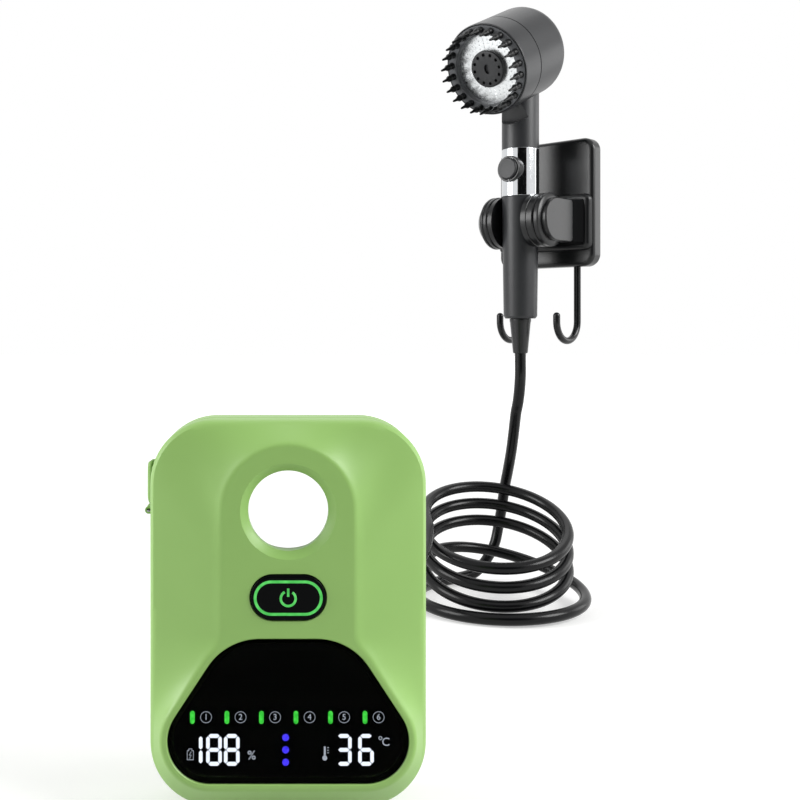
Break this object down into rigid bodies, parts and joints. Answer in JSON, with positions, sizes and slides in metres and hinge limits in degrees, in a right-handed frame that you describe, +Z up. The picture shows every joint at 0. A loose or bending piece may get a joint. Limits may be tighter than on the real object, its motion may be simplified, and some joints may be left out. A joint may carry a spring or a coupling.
{
  "type": "camp shower pump",
  "caption": "Portable shower: upright green pump with a display and carrying hole, a coiled black hose, and a brush-ring handset in a tilting wall holder with hooks.",
  "frame": {"origin": "middle of the pump's rubber foot, on the floor", "axes": "+Z up, the pump's face looks along -Y, +X to the right seen from the front"},
  "size_m": [0.2844, 0.4106, 0.4222],
  "materials": {
    "green_shell": "satin moulded",
    "black_lens": "polished",
    "black_rubber": "moulded",
    "black_button": "satin",
    "led_green": "lit",
    "led_white": "lit",
    "led_blue": "lit",
    "board": "coated",
    "dark_plastic": "fine texture",
    "white_plastic": "moulded",
    "cell_wrap": "shrink sleeve",
    "steel": "turned",
    "hose_skin": "smooth",
    "chrome_trim": "plated",
    "silver_plate": "plated",
    "handset_grey": "satin",
    "holder_black": "satin",
    "bristle": "soft",
    "pad_foam": "foam"
  },
  "bodies": {
    "pump": {"front_shell": "green_shell", "rear_shell": "green_shell", "shell_gasket": "black_rubber", "base_foot": "black_rubber", "case_screws": "steel", "display_lens": "black_lens", "led_panel": "dark_plastic", "digit_segments": "led_white", "level_bars": "led_green", "flow_dots": "led_blue", "display_board": "board", "button_switch": "dark_plastic", "control_board": "board", "battery_cells": "cell_wrap", "battery_cradle": "dark_plastic", "motor_can": "steel", "pump_volute": "dark_plastic", "shaft_seal": "black_rubber", "volute_cover": "dark_plastic", "intake_filter": "steel", "intake_grille": "green_shell", "outlet_spigot": "chrome_trim", "outlet_washer": "black_rubber", "pump_hose_nut": "dark_plastic", "temperature_probe": "steel", "charge_socket": "steel", "charge_board": "board", "port_pin": "steel", "hose_tail": "hose_skin", "hose_coil": "hose_skin", "hose_rise": "hose_skin", "wall_plate": "holder_black", "wall_pad": "pad_foam", "holder_arm": "holder_black", "pivot_bolt": "steel", "hook_left": "holder_black", "hook_right": "holder_black"},
    "power_button": {"power_button": "black_button", "button_light": "led_green"},
    "port_cover": {"port_cover": "green_shell"},
    "rotor": {"motor_shaft": "steel", "impeller": "white_plastic"},
    "socket": {"holder_socket": "holder_black"},
    "knob": {"socket_knob": "holder_black"},
    "handset": {"hose_lead": "hose_skin", "handset_nut": "dark_plastic", "handset_washer": "black_rubber", "handset_grip": "handset_grey", "water_tube": "white_plastic", "handle_band": "chrome_trim", "valve_body": "white_plastic", "valve_spring": "steel", "head_body": "handset_grey"},
    "stop_button": {"stop_button": "black_button"},
    "spray": {"spray_bezel": "handset_grey", "brush_ring": "bristle", "spray_plate": "silver_plate", "spray_hub": "dark_plastic"}
  },
  "joints": [
    {"name": "power_press", "type": "slide", "parent": "pump", "child": "power_button", "axis": [0, 1, 0], "range_m": [0, 0.001], "stiffness_N_per_m": 800},
    {"name": "port_hinge", "type": "hinge", "parent": "pump", "child": "port_cover", "pos_m": [-0.0569, 0.0065, 0.1192], "axis": [0, -1, 0], "range_deg": [0, 115]},
    {"name": "rotor_spin", "type": "hinge", "parent": "pump", "child": "rotor", "pos_m": [0.027, 0.01, 0.042], "axis": [0, 1, 0], "continuous": true},
    {"name": "socket_tilt", "type": "hinge", "parent": "pump", "child": "socket", "pos_m": [0.168, 0.33, 0.269], "axis": [0.6947, -0.7193, 0], "range_deg": [-10, 20], "deforming": ["hose_rise"]},
    {"name": "knob_turn", "type": "hinge", "parent": "socket", "child": "knob", "pos_m": [0.15272, 0.34582, 0.269], "axis": [0.6947, -0.7193, 0], "range_deg": [0, 180]},
    {"name": "handset_lift", "type": "slide", "parent": "socket", "child": "handset", "axis": [0, 0, 1], "range_m": [0, 0.092], "deforming": ["hose_lead"]},
    {"name": "stop_press", "type": "slide", "parent": "handset", "child": "stop_button", "axis": [0.7193, 0.6947, 0], "range_m": [0, 0.0025], "stiffness_N_per_m": 500, "deforming": ["valve_spring"]},
    {"name": "spray_turn", "type": "hinge", "parent": "handset", "child": "spray", "pos_m": [0.13743, 0.30048, 0.3718], "axis": [0.6546, 0.6321, 0.4147], "range_deg": [0, 90]}
  ]
}
